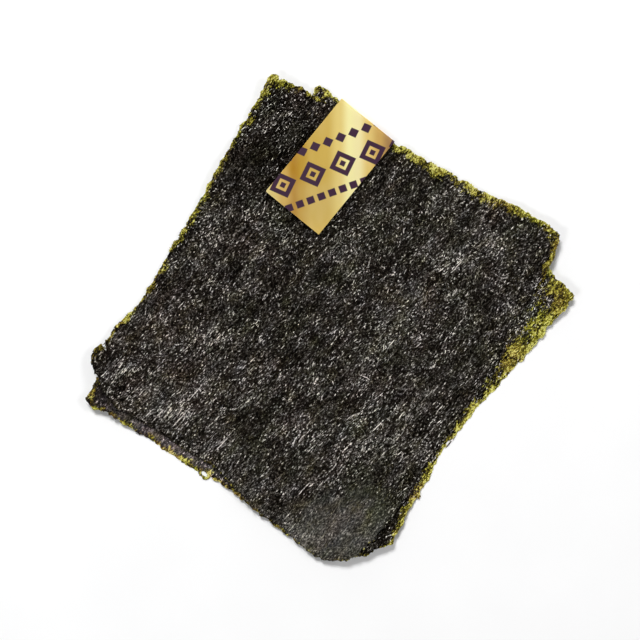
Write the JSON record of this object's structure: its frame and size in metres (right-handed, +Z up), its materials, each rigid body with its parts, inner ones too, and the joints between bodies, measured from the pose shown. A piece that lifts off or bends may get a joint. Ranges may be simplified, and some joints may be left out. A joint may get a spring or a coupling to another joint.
{
  "type": "nori sheet",
  "caption": "Roasted nori: thin, dark, ragged-edged seaweed sheets lying one on the other, held at the top edge by a folded gold foil paper band.",
  "frame": {"origin": "bottom centre of the box round the whole banded pair, on the surface it lies on", "axes": "+Z up, away from the surface and out of the shown side; +Y towards the corner that the picture shows at the top; +X to the picture's right"},
  "size_m": [0.2814, 0.2814, 0.0075],
  "materials": {
    "nori_front": "roasted seaweed, dark green-black, fibrous and lightly glossy, with a thin yellow-green edge",
    "nori_rear": "roasted seaweed, dark green-black, with a wide translucent yellow-green edge",
    "gold_foil": "satin gold foil on paper with plum print"
  },
  "bodies": {
    "root": {"sheet_front": "nori_front", "sheet_rear": "nori_rear", "foil_band": "gold_foil"}
  },
  "joints": []
}
